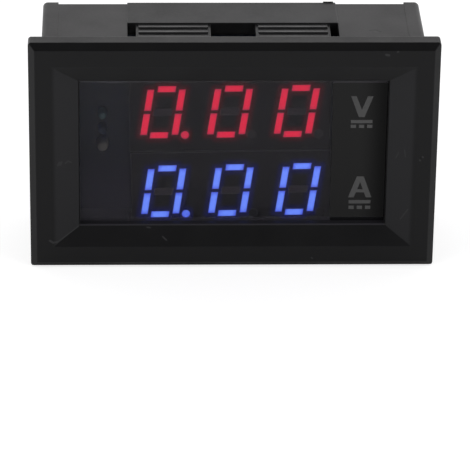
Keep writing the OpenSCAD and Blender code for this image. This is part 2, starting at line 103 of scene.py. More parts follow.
# Painted light along the lower edge of the window, on the clear part and on the print
LOWER_EDGE_PAINTED_LIGHT = (0.060, 0.057, 0.068, 1)
PRINT_EDGE_PAINTED_LIGHT = (0.0078, 0.0077, 0.0086, 1)
# Painted light on the side slopes of the recess
SIDE_SLOPE_PAINTED_LIGHT = (0.0150, 0.0150, 0.0162, 1)
DISPLAY_BLACK = (0.0050, 0.0028, 0.0060, 1)
# Painted highlight on the display edges and painted light on its upper and lower walls
DISPLAY_PAINTED_LIGHT = (0.10, 0.095, 0.105, 1)
RED_LIGHT = (0.40, 0.012, 0.050, 1)
RED_CORE = (0.70, 0.010, 0.047, 1)
RED_HALO = (0.082, 0.0, 0.005, 1)
BLUE_LIGHT = (0.060, 0.095, 0.66, 1)
BLUE_CORE = (0.145, 0.26, 0.98, 1)
BLUE_HALO = (0.001, 0.004, 0.10, 1)
BOARD_BLUE = (0.008, 0.034, 0.105, 1)
# Front of the board behind the window, darker with painted shade, and its lower part
SHADED_FRONT_OF_BOARD = (0.001, 0.014, 0.040, 1)
SHADED_LOWER_FRONT_OF_BOARD = (0.010, 0.010, 0.036, 1)
FLUX_TONE = (0.013, 0.020, 0.044, 1)
COPPER_BLUE = (0.020, 0.072, 0.185, 1)
LAMINATE = (0.26, 0.23, 0.12, 1)
SILK_WHITE = (0.62, 0.63, 0.62, 1)
# Flux tones of the joints, lightened with painted light against the shade behind the window
DULL_FLUX_AND_LIGHT = (0.13, 0.16, 0.25, 1)
TEAL_FLUX_AND_LIGHT = (0.24, 0.40, 0.42, 1)
BROWN_FLUX_AND_LIGHT = (0.62, 0.57, 0.53, 1)
SIGN_GREY = (0.059, 0.059, 0.059, 1)
TIN = (0.62, 0.62, 0.60, 1)
NYLON = (0.74, 0.71, 0.62, 1)
NO_LIGHT = (0, 0, 0, 1)
WHITE = (1, 1, 1, 1)

# Mottling of moulded surfaces: how fine its broad cloud and its drift of colour are
BROAD_MOTTLE = 180
COLOUR_DRIFT = 90

# How far the light of a lit segment bleeds into its frame, in millimetres
HALO_REACH = 0.72

# Half the width and height of the window opening, and how far the lip with its painted highlight reaches
# from it
WINDOW_HALF = (18.1 * MM, 9.32 * MM)
LIP = 0.09 * MM

# Zones of the housing. In front of RECESS_DEPTH lies the recess, in front of PANEL_SEAT the bezel.
# The rim starts at RIM_LEVEL up and down and at RIM_SIDE to the right, the side slopes end at
# SLOPE_END and the ends of the body with painted light start at END_ZONE.
RECESS_DEPTH = -0.9 * MM
PANEL_SEAT = 0.01 * MM
RIM_LEVEL = 13 * MM
RIM_SIDE = 22.8 * MM
SLOPE_END = 20.8 * MM
END_ZONE = 12.4 * MM

# How much rougher the rim is underneath and at its right side
UNDER_RIM_ROUGHER = 0.23
RIGHT_RIM_ROUGHER = 0.14

# Painted light along the lower edge of the window starts below this level
LOWER_LIGHT_FROM = -8.78 * MM

# The painted highlight along the upper edge of the window starts above this level
TOP_HIGHLIGHT_FROM = 8.69 * MM

# Print on the window: thickness of the ink and where the black field starts
INK = 0.008 * MM
PRINT_FROM = 11.62 * MM

# Small scratches and specks on the housing: from, to, width, and light or dark, in millimetres
MARKS = [
    ((-8.75, 10.35, 13.25), (-8.60, 10.30, 13.25), 0.24, "dark"),
    ((16.10, 4.75, 13.15), (16.75, 4.95, 13.15), 0.18, "dark"),
    ((16.75, 4.95, 13.15), (17.30, 4.45, 13.15), 0.16, "dark"),
    ((16.70, 4.40, 13.15), (16.95, 4.35, 13.15), 0.18, "light"),
    ((-20.62, -2.24, -1.00), (-20.45, -2.20, -0.72), 0.20, "light"),
    ((-20.35, -2.15, -1.02), (-20.22, -2.10, -0.70), 0.18, "light"),
    ((-19.75, -1.92, -0.92), (-19.45, -1.80, -0.70), 0.13, "light"),
    ((-19.45, -1.80, -0.70), (-19.12, -1.68, -0.90), 0.13, "light"),
    ((20.12, -2.05, 0.80), (20.24, -2.10, -0.05), 0.10, "light"),
    ((19.45, -1.78, 0.35), (19.15, -1.67, -0.40), 0.09, "light"),
    ((22.24, -2.5, 0.12), (22.29, -2.5, 0.04), 0.14, "light"),
    ((21.92, -2.5, -0.30), (21.97, -2.5, -0.36), 0.14, "light"),
    ((22.02, -2.5, 0.00), (22.06, -2.5, -0.06), 0.12, "dark"),
    ((19.95, -1.98, -8.30), (20.75, -2.28, -6.90), 0.11, "light"),
    ((-10.15, -1.42, -9.62), (-9.80, -1.43, -9.68), 0.12, "light"),
    ((-8.30, -1.95, -10.62), (-7.85, -2.12, -11.00), 0.11, "light"),
    ((-21.70, -2.5, -10.85), (-21.30, -2.5, -11.12), 0.17, "light"),
    ((-21.30, -2.5, -11.12), (-20.90, -2.33, -11.10), 0.15, "light"),
    ((-20.90, -2.33, -11.20), (-18.30, -1.32, -9.50), 0.10, "light"),
    ((9.45, -2.5, -13.20), (9.55, -2.5, -13.30), 0.12, "light"),
    ((18.86, -2.5, 13.62), (18.92, -2.5, 13.66), 0.14, "light"),
    ((17.55, -2.5, 13.26), (17.85, -2.5, 13.20), 0.20, "light"),
]

# Studio: tones of the sky in front, above and behind, the two lights, and the floor
FRONT_TONE = (0.20, 0.20, 0.205, 1)
UPPER_TONE = (0.44, 0.44, 0.45, 1)
BACK_TONE = (1.22, 1.21, 1.22, 1)
LIGHT_AT = (0.62, -0.30, 0.40)
LIGHT_SIZE = 0.5
LIGHT_POWER = 2.9
FLOOR_RADIUS = 1.5

# Circuit board: its two faces, and the heights of solder, lacquered copper and white ink on it
BOARD_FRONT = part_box("circuit_board")[0].y
BOARD_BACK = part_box("circuit_board")[1].y
PAD_HEIGHT = 0.11 * MM
COPPER_HEIGHT = 0.035 * MM
SILK_HEIGHT = 0.020 * MM
SILK_LINE = 0.15 * MM
SINK = 0.02 * MM
VIA_TRIES = 90
VIA_SPREAD = (19, 10.8)

# The two displays: turn in degrees as soldered, size of the digits, and their light
ROWS = {
    "voltage": {"turn": 0.5, "size": 1.0, "light": RED_LIGHT, "core": RED_CORE, "halo": RED_HALO,
                "idle": (0.024, 0.013, 0.023, 1), "power": 1.7},
    "current": {"turn": 1.0, "size": 1.015, "light": BLUE_LIGHT, "core": BLUE_CORE,
                "halo": BLUE_HALO, "idle": (0.024, 0.015, 0.028, 1), "power": 1.8},
}
for row_name, row in ROWS.items():
    low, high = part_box(row_name + "_display_shell")
    row["middle"] = (low + high) / 2


# ---- node helpers ---------------------------------------------------------------------------

FLOAT, VECTOR = "NodeSocketFloat", "NodeSocketVector"


def feed(tree, node, inputs):
    """Feeds a node's inputs, by name or number: a socket is wired, and a plain value is set."""
    for key, value in inputs.items():
        if isinstance(value, bpy.types.NodeSocket):
            tree.links.new(value, node.inputs[key])
        else:
            node.inputs[key].default_value = value


def add(tree, kind, inputs=None, **settings):
    """A node of one kind in a tree, with its own settings and inputs."""
    node = tree.nodes.new(kind)
    for name, value in settings.items():
        setattr(node, name, value)
    feed(tree, node, inputs or {})
    return node


def math_node(tree, operation, *values, clamp=False):
    """A Math node whose inputs are sockets or numbers; returns its output."""
    node = add(tree, "ShaderNodeMath", dict(enumerate(values)), operation=operation, use_clamp=clamp)
    return node.outputs[0]


def ramp(tree, value, low, high, to_low=0.0, to_high=1.0, kind="SMOOTHSTEP"):
    """Maps a value from one range to another, clamped."""
    node = add(tree, "ShaderNodeMapRange", clamp=True, interpolation_type=kind)
    feed(tree, node, {"Value": value, "From Min": low, "From Max": high,
                      "To Min": to_low, "To Max": to_high})
    return node.outputs["Result"]


def blend_colour(tree, mask, a, b):
    """Mixes two colours by a mask; each is a socket or a colour."""
    return add(tree, "ShaderNodeMix", {"Factor": mask, 6: a, 7: b}, data_type="RGBA").outputs[2]


def product(tree, *masks):
    """Some masks multiplied with each other."""
    total = masks[0]
    for mask in masks[1:]:
        total = math_node(tree, "MULTIPLY", total, mask)
    return total


def above(tree, value, limit):
    """Mask that is 1 where a value is over a limit."""
    return math_node(tree, "GREATER_THAN", value, limit)


def below(tree, value, limit):
    """Mask that is 1 where a value is under a limit."""
    return math_node(tree, "LESS_THAN", value, limit)


def unsigned(tree, value):
    """A value without its sign."""
    return math_node(tree, "ABSOLUTE", value)


def vector_node(tree, operation, a, b=None):
    """A Vector Math node on one or two vectors, or a vector and its scale; returns its outputs."""
    inputs = {0: a}
    if b is not None:
        inputs["Scale" if operation == "SCALE" else 1] = b
    return add(tree, "ShaderNodeVectorMath", inputs, operation=operation).outputs


def axes_of(tree, vector):
    """X, Y and Z of a vector."""
    node = add(tree, "ShaderNodeSeparateXYZ", {0: vector})
    return [node.outputs[axis] for axis in "XYZ"]


def vector_from(tree, x, y, z):
    """A vector made of three sockets or numbers."""
    return add(tree, "ShaderNodeCombineXYZ", {"X": x, "Y": y, "Z": z}).outputs[0]


def on_piece(tree):
    """The place on the piece itself."""
    return add(tree, "ShaderNodeTexCoord").outputs["Object"]


def facing_of(tree):
    """X, Y and Z of the way a surface faces."""
    return axes_of(tree, add(tree, "ShaderNodeNewGeometry").outputs["True Normal"])


def noise(tree, vector, scale, detail=2.0):
    """Soft noise; the scale is a socket or a number."""
    node = add(tree, "ShaderNodeTexNoise", {"Vector": vector, "Scale": scale, "Detail": detail})
    return node.outputs["Fac"]


def raised(tree, height, strength, distance, normal=None):
    """Normal of a surface that is raised by a height."""
    bump = add(tree, "ShaderNodeBump", {"Strength": strength, "Distance": distance, "Height": height})
    if normal is not None:
        feed(tree, bump, {"Normal": normal})
    return bump.outputs["Normal"]


def tone_of(colour, factor):
    """A colour made lighter or darker."""
    return tuple(min(1, channel * factor) for channel in colour[:3]) + (1,)


def new_group(name, inputs, outputs):
    """An empty shader node group with named inputs (a number, or VECTOR) and outputs (a type)."""
    tree = bpy.data.node_groups.new(name, "ShaderNodeTree")
    for key, default in inputs.items():
        kind = VECTOR if default == VECTOR else FLOAT
        socket = tree.interface.new_socket(name=key, in_out="INPUT", socket_type=kind)
        if kind == FLOAT:
            socket.default_value = default
    for key, kind in outputs.items():
        tree.interface.new_socket(name=key, in_out="OUTPUT", socket_type=kind)
    return tree, add(tree, "NodeGroupInput"), add(tree, "NodeGroupOutput")


def place_group(tree, group, inputs):
    """Puts a shared group into a material with that material's own values; returns its outputs."""
    node = add(tree, "ShaderNodeGroup", node_tree=group)
    feed(tree, node, inputs)
    return node.outputs


# ---- shared effects -------------------------------------------------------------------------

def moulded_grain_group():
    """Fine mottling of a moulded or cast surface: a bump height and a gloss change."""
    tree, start, end = new_group(
        "moulded grain",
        {"Scale": 2500.0, "Coarse": 0.35, "Gloss low": 0.35, "Gloss high": 0.5},
        {"Height": FLOAT, "Roughness": FLOAT},
    )
    given = start.outputs
    where = on_piece(tree)
    fine = noise(tree, where, given["Scale"], 3)
    broad = noise(tree, where, BROAD_MOTTLE)
    mixed = math_node(tree, "MULTIPLY_ADD", fine, 0.5, broad)
    feed(tree, end, {
        "Height": math_node(tree, "MULTIPLY_ADD", broad, given["Coarse"], fine),
        "Roughness": ramp(tree, mixed, 0.5, 1.0, given["Gloss low"], given["Gloss high"], "LINEAR"),
    })
    return tree


def eased_edge_group():
    """Normal that turns softly over a sharp edge, and a mask that is 1 on the edge."""
    tree, start, end = new_group("eased edge", {"Radius": 0.08 * MM}, {"Normal": VECTOR, "Edge": FLOAT})
    bevel = add(tree, "ShaderNodeBevel", {"Radius": start.outputs["Radius"]}, samples=6)
    flat = add(tree, "ShaderNodeNewGeometry").outputs["True Normal"]
    alike = vector_node(tree, "DOT_PRODUCT", bevel.outputs["Normal"], flat)["Value"]
    feed(tree, end, {"Normal": bevel.outputs["Normal"], "Edge": ramp(tree, alike, 0.995, 0.9)})
    return tree


def short_mark_group():
    """Mask that is 1 along a short straight mark between two places."""
    tree, start, end = new_group(
        "short mark", {"Place": VECTOR, "From": VECTOR, "To": VECTOR, "Width": 0.1 * MM}, {"Mask": FLOAT}
    )
    given = start.outputs
    offset = vector_node(tree, "SUBTRACT", given["Place"], given["From"])[0]
    line = vector_node(tree, "SUBTRACT", given["To"], given["From"])[0]
    share = math_node(tree, "DIVIDE", vector_node(tree, "DOT_PRODUCT", offset, line)["Value"],
                      vector_node(tree, "DOT_PRODUCT", line, line)["Value"], clamp=True)
    nearest = vector_node(tree, "SCALE", line, share)[0]
    away = vector_node(tree, "LENGTH", vector_node(tree, "SUBTRACT", offset, nearest)[0])["Value"]
    in_widths = math_node(tree, "DIVIDE", away, given["Width"])
    feed(tree, end, {"Mask": ramp(tree, in_widths, 0.5, 1.0, 1.0, 0.0)})
    return tree


GRAIN = moulded_grain_group()
EASED = eased_edge_group()
SHORT_MARK = short_mark_group()


def new_material(name):
    """A material with a Principled shader; returns the material, its tree and the shader."""
    material = bpy.data.materials.new(name)
    material.use_nodes = True
    return opened(material)


def opened(material):
    """A material with its tree and shader."""
    return material, material.node_tree, material.node_tree.nodes["Principled BSDF"]


def source_of(socket):
    """The socket that feeds a shader's input."""
    return socket.links[0].from_socket


def moulded(name, colour, edge_highlight, edge=0.08, grain=2500.0, bump=0.05, gloss=(0.35, 0.5),
            specular=0.5, drift=0.12):
    """Moulded plastic or ceramic with a fine grain, small colour drift and eased edges (in mm) that carry
    a painted highlight.
    """
    material, tree, shader = new_material(name)
    surface = place_group(tree, GRAIN, {"Scale": grain, "Gloss low": gloss[0], "Gloss high": gloss[1]})
    eased = place_group(tree, EASED, {"Radius": edge * MM})
    drifting = noise(tree, on_piece(tree), COLOUR_DRIFT)
    body = blend_colour(tree, drifting, tone_of(colour, 1 - drift), tone_of(colour, 1 + drift))
    # Edges are blended towards the edge colour: a painted highlight
    feed(tree, shader, {
        "Base Color": blend_colour(tree, eased["Edge"], body, edge_highlight),
        "Roughness": surface["Roughness"],
        "Normal": raised(tree, surface["Height"], bump, 0.03 * MM, eased["Normal"]),
        "Specular IOR Level": specular,
    })
    return material


def dress(name, material):
    """Gives a CAD node its finish."""
    mesh = nodes[name].data
    mesh.materials.clear()
    mesh.materials.append(material)


# ---- finishes -------------------------------------------------------------------------------

def marks_mask(tree, where, kind):
    """Mask of all the small marks of one kind on the housing."""
    total = None
    for start, stop, width, tone in MARKS:
        if tone != kind:
            continue
        mask = place_group(tree, SHORT_MARK, {
            "Place": where, "From": [c * MM for c in start], "To": [c * MM for c in stop],
            "Width": width * MM,
        })["Mask"]
        total = mask if total is None else math_node(tree, "MAXIMUM", total, mask)
    return total


def black_moulding():
    """Satin black housing with a painted highlight on its edges and on the lip of the window, painted
    light on its side slopes, on the ledge and on the upward faces at its ends, and painted shade on the
    rim and under the recess; it carries a few scratches and specks."""
    material, tree, shader = opened(moulded("black moulding", BLACK_PLASTIC, HOUSING_EDGE_HIGHLIGHT, edge=0.16,
                                            grain=3200, bump=0.10, gloss=(0.28, 0.42), specular=0.15))
    where = on_piece(tree)
    x, y, z = axes_of(tree, where)
    facing_x, _, facing_z = facing_of(tree)
    outward, height = unsigned(tree, x), unsigned(tree, z)
    sideways, upright = unsigned(tree, facing_x), unsigned(tree, facing_z)
    in_recess = below(tree, y, RECESS_DEPTH)
    on_bezel = below(tree, y, PANEL_SEAT)
    facing_up = above(tree, facing_z, 0.9)

    # Painted light on the side slopes, for their reflection of the bright sides
    sloping = product(tree, ramp(tree, sideways, 0.15, 0.25), ramp(tree, sideways, 0.60, 0.50))
    side_slope = product(tree, sloping, ramp(tree, outward, SLOPE_END + 0.55 * MM, SLOPE_END), in_recess)
    # Painted shade on the downward faces in front of the recess
    underside = product(tree, in_recess, below(tree, facing_z, -0.6))
    # Painted shade on the upper and lower faces of the bezel rim
    rim = product(tree, above(tree, height, RIM_LEVEL), above(tree, upright, 0.3), on_bezel)
    # Painted light on the upward faces at the ends of the body
    end_zone = product(tree, ramp(tree, outward, END_ZONE, END_ZONE + 0.3 * MM),
                       above(tree, y, PANEL_SEAT), facing_up)
    # Painted highlight along the lip of the window
    beyond = math_node(tree, "SUBTRACT", height, WINDOW_HALF[1])
    on_lip = product(tree, ramp(tree, beyond, LIP + 0.04 * MM, LIP),
                     below(tree, outward, WINDOW_HALF[0]), in_recess)
    lip = blend_colour(tree, above(tree, z, 0.0), LOWER_LIP_HIGHLIGHT, UPPER_LIP_HIGHLIGHT)
    # Painted light on the upward ledge at the bottom of the window
    from_sill = unsigned(tree, math_node(tree, "ADD", z, WINDOW_HALF[1]))
    on_ledge = product(tree, facing_up, below(tree, from_sill, 0.05 * MM))

    toned = source_of(shader.inputs["Base Color"])
    for mask, tone in ((side_slope, SIDE_SLOPE_PAINTED_LIGHT), (underside, UNDERSIDE_SHADE), (rim, RIM_SHADE),
                       (end_zone, END_PAINTED_LIGHT), (on_lip, lip), (on_ledge, LEDGE_PAINTED_LIGHT),
                       (marks_mask(tree, where, "dark"), DARK_MARK),
                       (marks_mask(tree, where, "light"), LIGHT_MARK)):
        toned = blend_colour(tree, mask, toned, tone)

    under_rim = product(tree, rim, below(tree, facing_z, -0.3))
    beside_rim = product(tree, above(tree, x, RIM_SIDE), above(tree, facing_x, 0.3))
    rough = source_of(shader.inputs["Roughness"])
    rough = math_node(tree, "MULTIPLY_ADD", under_rim, UNDER_RIM_ROUGHER, rough)
    rough = math_node(tree, "MULTIPLY_ADD", beside_rim, RIGHT_RIM_ROUGHER, rough)
    feed(tree, shader, {"Base Color": toned, "Roughness": rough})
    return material


def smoked_window():
    """Smoked plate: half see-through, printed black at the end that carries the unit signs,
    with painted light over its lower left and along its lower edge and a painted highlight along its
    upper edge."""
    material, tree, shader = new_material("smoked window")
    across, _, z = axes_of(tree, on_piece(tree))
    printed = ramp(tree, across, PRINT_FROM - 0.03 * MM, PRINT_FROM + 0.03 * MM)
    see_through = math_node(tree, "SUBTRACT", 1.0, printed)
    smoke = math_node(tree, "MULTIPLY_ADD", printed, 0.5, 0.5)
    inner = add(tree, "ShaderNodeNewGeometry").outputs["Backfacing"]
    outer = math_node(tree, "SUBTRACT", 1.0, inner)

    # Painted light over the lower left of the plate
    lower_left_light = ramp(tree, z, 0.5 * MM, -6 * MM)
    over_displays = ramp(tree, across, -12.7 * MM, -11.6 * MM)
    # Painted light along the lower edge of the plate
    on_lower_edge = ramp(tree, z, LOWER_LIGHT_FROM, LOWER_LIGHT_FROM - 0.15 * MM)
    lower_edge_light = blend_colour(tree, printed, LOWER_EDGE_PAINTED_LIGHT, PRINT_EDGE_PAINTED_LIGHT)
    # Painted highlight along the upper edge of the plate
    top_edge = ramp(tree, z, TOP_HIGHLIGHT_FROM, TOP_HIGHLIGHT_FROM + 0.06 * MM)
    top = blend_colour(tree, ramp(tree, across, -14 * MM, -5 * MM), TOP_LEFT_EDGE_HIGHLIGHT, TOP_EDGE_HIGHLIGHT)
    toned = blend_colour(tree, lower_left_light, CLEAR_TONE, LOWER_LEFT_PAINTED_LIGHT)
    for mask, tone in ((over_displays, DEEP_TONE), (printed, BLACK_INK), (on_lower_edge, lower_edge_light), (top_edge, top)):
        toned = blend_colour(tree, mask, toned, tone)

    # The level varies over the plate, so it is wired; the plain value is what an export keeps
    # Reflection weaker towards the right end of the plate: painted shade in the reflection
    shine = ramp(tree, across, 14.8 * MM, 18.3 * MM, 0.235, 0.085)
    shader.inputs["Specular IOR Level"].default_value = 0.38
    feed(tree, shader, {
        "Base Color": toned,
        "Alpha": product(tree, smoke, outer),
        "Specular IOR Level": math_node(tree, "MULTIPLY_ADD", see_through, 0.16, shine),
        "Roughness": 0.09,
        "IOR": 1.49,
    })
    return material


def box_distance(tree, across, along, half_across, half_along):
    """Distance from an upright rectangle, given the distances from its middle; negative inside."""
    x = math_node(tree, "SUBTRACT", unsigned(tree, across), half_across)
    z = math_node(tree, "SUBTRACT", unsigned(tree, along), half_along)
    outside = from_middle(tree, math_node(tree, "MAXIMUM", x, 0.0), math_node(tree, "MAXIMUM", z, 0.0))
    inside = math_node(tree, "MINIMUM", math_node(tree, "MAXIMUM", x, z), 0.0)
    return math_node(tree, "ADD", outside, inside)


def from_middle(tree, x, z):
    """Length of the way x across and z up."""
    square = math_node(tree, "MULTIPLY_ADD", z, z, math_node(tree, "MULTIPLY", x, x))
    return math_node(tree, "SQRT", square)


def lit_digits_group():
    """Distance in millimetres from the nearest lit segment, how near a segment's end a place is,
    and a mask of the middle bars, which stay dark."""
    tree, start, end = new_group("lit digits", {"Place": VECTOR},
                                 {"Distance": FLOAT, "End": FLOAT, "Middle": FLOAT})
    x, _, z = axes_of(tree, start.outputs["Place"])
    straight = math_node(tree, "MULTIPLY_ADD", z, -DIGIT_LEAN, x)
    column = math_node(tree, "WRAP", straight, DIGIT_PITCH / 2, -DIGIT_PITCH / 2)
    across, height = unsigned(tree, column), unsigned(tree, z)
    off_side = math_node(tree, "SUBTRACT", height, SIDE_AT[1])
    side = box_distance(tree, math_node(tree, "SUBTRACT", across, SIDE_AT[0]), off_side,
                        SEGMENT_HALF, SIDE_HALF_LENGTH)
    level = box_distance(tree, across, math_node(tree, "SUBTRACT", height, BAR_AT),
                         BAR_HALF_LENGTH, SEGMENT_HALF)
    over_point = math_node(tree, "SUBTRACT", z, POINT_AT[1])
    beside_point = math_node(tree, "MULTIPLY_ADD", over_point, DIGIT_LEAN,
                             math_node(tree, "SUBTRACT", column, POINT_AT[0]))
    point = math_node(tree, "SUBTRACT", from_middle(tree, beside_point, over_point), POINT_RADIUS)
    not_first = above(tree, straight, -DIGIT_PITCH / 2)
    point = math_node(tree, "ADD", point, not_first)
    in_row = box_distance(tree, straight, z, 1.5 * DIGIT_PITCH, 2 * BAR_AT)
    nearest = math_node(tree, "MINIMUM", math_node(tree, "MINIMUM", side, level), point)
    side_end = math_node(tree, "DIVIDE", unsigned(tree, off_side), SIDE_HALF_LENGTH)
    level_end = math_node(tree, "DIVIDE", across, BAR_HALF_LENGTH)
    on_level = below(tree, level, side)
    feed(tree, end, {
        "Distance": math_node(tree, "MAXIMUM", nearest, in_row),
        "End": math_node(tree, "MULTIPLY_ADD", on_level,
                         math_node(tree, "SUBTRACT", level_end, side_end), side_end),
        "Middle": below(tree, height, MIDDLE_BAR_HALF),
    })
    return tree


LIT_DIGITS = lit_digits_group()


def place_digits(tree, row):
    """Puts the lit-digit pattern on a display; returns the outputs of the pattern."""
    turned = add(tree, "ShaderNodeMapping", vector_type="TEXTURE")
    feed(tree, turned, {
        "Vector": on_piece(tree),
        "Location": row["middle"],
        "Rotation": (0, -math.radians(row["turn"]), 0),
        "Scale": (MM * row["size"],) * 3,
    })
    return place_group(tree, LIT_DIGITS, {"Place": turned.outputs["Vector"]})


def lit_resin(name, row):
    """Cast resin windows: lit ones glow, strongest in the core; the others stay dark and cloudy."""
    material, tree, shader = new_material(name)
    digits = place_digits(tree, row)
    distance = digits["Distance"]
    grain = noise(tree, on_piece(tree), 3800)
    near_rim = ramp(tree, distance, -0.26, 0.0)
    near_tip = ramp(tree, digits["End"], 0.5, 1.0)
    weaker = math_node(tree, "MULTIPLY_ADD", near_rim, 0.45, math_node(tree, "MULTIPLY", near_tip, 0.6))
    patchy = math_node(tree, "MULTIPLY_ADD", grain, 0.9, -0.45)
    weaker = math_node(tree, "ADD", weaker, patchy, clamp=True)
    glow = blend_colour(tree, weaker, row["core"], row["light"])
    mirrored = add(tree, "ShaderNodeLightPath").outputs["Is Glossy Ray"]
    unlit = above(tree, distance, -0.02)
    dimmed = math_node(tree, "MAXIMUM", unlit, math_node(tree, "MULTIPLY", mirrored, 0.7))
    cloudy = blend_colour(tree, ramp(tree, grain, 0.3, 0.7), row["idle"], tone_of(row["idle"], 1.4))
    idle = blend_colour(tree, digits["Middle"], DISPLAY_BLACK, cloudy)
    feed(tree, shader, {
        "Base Color": blend_colour(tree, unlit, tone_of(row["light"], 0.6), idle),
        "Emission Color": blend_colour(tree, dimmed, glow, NO_LIGHT),
        "Emission Strength": row["power"],
        "Roughness": 0.35,
    })
    return material


def display_front(name, row):
    """Matt black display frame with a painted highlight on its edges and painted light on its upper and
    lower walls, and light that bleeds into it round the lit segments."""
    material, tree, shader = opened(moulded(name, DISPLAY_BLACK, DISPLAY_PAINTED_LIGHT, edge=0.18, grain=5200,
                                            bump=0.04, gloss=(0.5, 0.65), specular=0.3))
    _, _, facing_z = facing_of(tree)
    # Upper and lower walls carry painted light in the tone of the painted edge highlight
    on_wall = above(tree, unsigned(tree, facing_z), 0.9)
    near = ramp(tree, place_digits(tree, row)["Distance"], HALO_REACH, 0.0, kind="LINEAR")
    feed(tree, shader, {
        "Base Color": blend_colour(tree, on_wall, source_of(shader.inputs["Base Color"]), DISPLAY_PAINTED_LIGHT),
        "Emission Color": blend_colour(tree, near, NO_LIGHT, row["halo"]),
        "Emission Strength": 1.0,
    })
    return material


def solder_mask():
    """Blue board lacquer; the side behind the window is darker with painted shade and clouded with flux.
    """
    material, tree, shader = new_material("blue board")
    where = on_piece(tree)
    _, y, z = axes_of(tree, where)
    weave = noise(tree, where, 900, 4)
    back = blend_colour(tree, weave, BOARD_BLUE, tone_of(BOARD_BLUE, 1.3))
    flux = ramp(tree, noise(tree, where, 210, 3), 0.38, 0.66)
    lower = ramp(tree, z, 3 * MM, -6 * MM)
    # Painted shade on the front of the board
    front = blend_colour(tree, lower, SHADED_FRONT_OF_BOARD, SHADED_LOWER_FRONT_OF_BOARD)
    front = blend_colour(tree, flux, front, FLUX_TONE)
    at_front = below(tree, y, (BOARD_FRONT + BOARD_BACK) / 2)
    lacquer = blend_colour(tree, at_front, back, front)
    _, facing_y, _ = facing_of(tree)
    cut_edge = below(tree, unsigned(tree, facing_y), 0.5)
    feed(tree, shader, {
        "Base Color": blend_colour(tree, cut_edge, lacquer, LAMINATE),
        "Normal": raised(tree, weave, 0.2, 0.02 * MM),
        "Roughness": 0.30,
        "Specular IOR Level": 0.35,
    })
    return material


def metal(name, colour, rough=(0.22, 0.4), scale=1800, brushed=(1, 1, 1)):
    """Plated or drawn metal with soft unevenness along its length."""
    material, tree, shader = new_material(name)
    place = add(tree, "ShaderNodeMapping", {"Vector": on_piece(tree), "Scale": brushed})
    uneven = noise(tree, place.outputs["Vector"], scale, 3)
    feed(tree, shader, {
        "Base Color": blend_colour(tree, uneven, tone_of(colour, 0.8), colour),
        "Roughness": ramp(tree, uneven, 0.3, 0.7, *rough),
        "Normal": raised(tree, uneven, 0.15, 0.02 * MM),
        "Metallic": 1.0,
    })
    return material


def fluxed_solder():
    """Hand-soldered joints behind the window: dull under flux, one teal and one brown, each tone
    lightened with painted light against the shade there.
    """
    material, tree, shader = opened(moulded("fluxed solder", DULL_FLUX_AND_LIGHT, DULL_FLUX_AND_LIGHT, edge=0.04,
                                            grain=3000, bump=0.3, gloss=(0.45, 0.6), specular=0.25))
    _, _, z = axes_of(tree, on_piece(tree))
    # Flux colours that also carry painted light
    upper = ramp(tree, z, 0.4 * MM, 1.2 * MM)
    lower = ramp(tree, z, -1.6 * MM, -2.2 * MM)
    toned = blend_colour(tree, upper, source_of(shader.inputs["Base Color"]), TEAL_FLUX_AND_LIGHT)
    feed(tree, shader, {"Base Color": blend_colour(tree, lower, toned, BROWN_FLUX_AND_LIGHT)})
    return material


# ---- pieces ---------------------------------------------------------------------------------

def new_piece(name, mesh, material, body=METER):
    """Registers a finished mesh as a piece of the meter."""
    piece = bpy.data.objects.new(name, mesh)
    bpy.context.scene.collection.objects.link(piece)
    mesh.materials.clear()
    mesh.materials.append(material)
    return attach(piece, body)


def loose_parts(name):
    """Lowest and highest corner of each separate solid in a CAD node."""
    shape = bmesh.new()
    shape.from_mesh(nodes[name].data)
    bmesh.ops.remove_doubles(shape, verts=shape.verts, dist=0.0001 * MM)
    seen, parts = set(), []
    for first in shape.verts:
        if first in seen:
            continue
        seen.add(first)
        waiting, corners = [first], []
        while waiting:
            vertex = waiting.pop()
            corners.append(vertex.co.copy())
            for edge in vertex.link_edges:
                other = edge.other_vert(vertex)
                if other not in seen:
                    seen.add(other)
                    waiting.append(other)
        parts.append((Vector([min(axis) for axis in zip(*corners)]),
                      Vector([max(axis) for axis in zip(*corners)])))
    shape.free()
    return parts


def new_growth(name, inputs):
    """An empty Geometry Nodes tree with named inputs (name: type, default)."""
    tree = bpy.data.node_groups.new(name, "GeometryNodeTree")
    sockets = tree.interface
    sockets.new_socket(name="Geometry", in_out="INPUT", socket_type="NodeSocketGeometry")
    for key, (kind, default) in inputs.items():
        socket = sockets.new_socket(name=key, in_out="INPUT", socket_type="NodeSocket" + kind)
        if default is not None:
            socket.default_value = default
    sockets.new_socket(name="Geometry", in_out="OUTPUT", socket_type="NodeSocketGeometry")
    return tree, add(tree, "NodeGroupInput"), add(tree, "NodeGroupOutput")


def shape_place(tree):
    """X, Y and Z of the points of a shape."""
    return axes_of(tree, add(tree, "GeometryNodeInputPosition").outputs[0])


def moved(tree, shape, place):
    """A shape whose points are moved to new places."""
    return add(tree, "GeometryNodeSetPosition", {"Geometry": shape, "Position": place}).outputs[0]


def own_size(tree):
    """The size that each point carries."""
    node = add(tree, "GeometryNodeInputNamedAttribute", {"Name": "size"}, data_type="FLOAT_VECTOR")
    return node.outputs[0]


def copies_on(tree, points, shape, **turn_and_size):
    """Puts a shape on every point, each with its Rotation and Scale."""
    inputs = {"Points": points, "Instance": shape, **turn_and_size}
    return add(tree, "GeometryNodeInstanceOnPoints", inputs).outputs[0]


def close_growth(tree, instances, material, end):
    """Ends a tree: instances made real, shaded smooth and given their material."""
    real = add(tree, "GeometryNodeRealizeInstances", {0: instances})
    smooth = add(tree, "GeometryNodeSetShadeSmooth", {0: real.outputs[0]})
    finish = add(tree, "GeometryNodeSetMaterial", {"Geometry": smooth.outputs[0], "Material": material})
    feed(tree, end, {0: finish.outputs[0]})


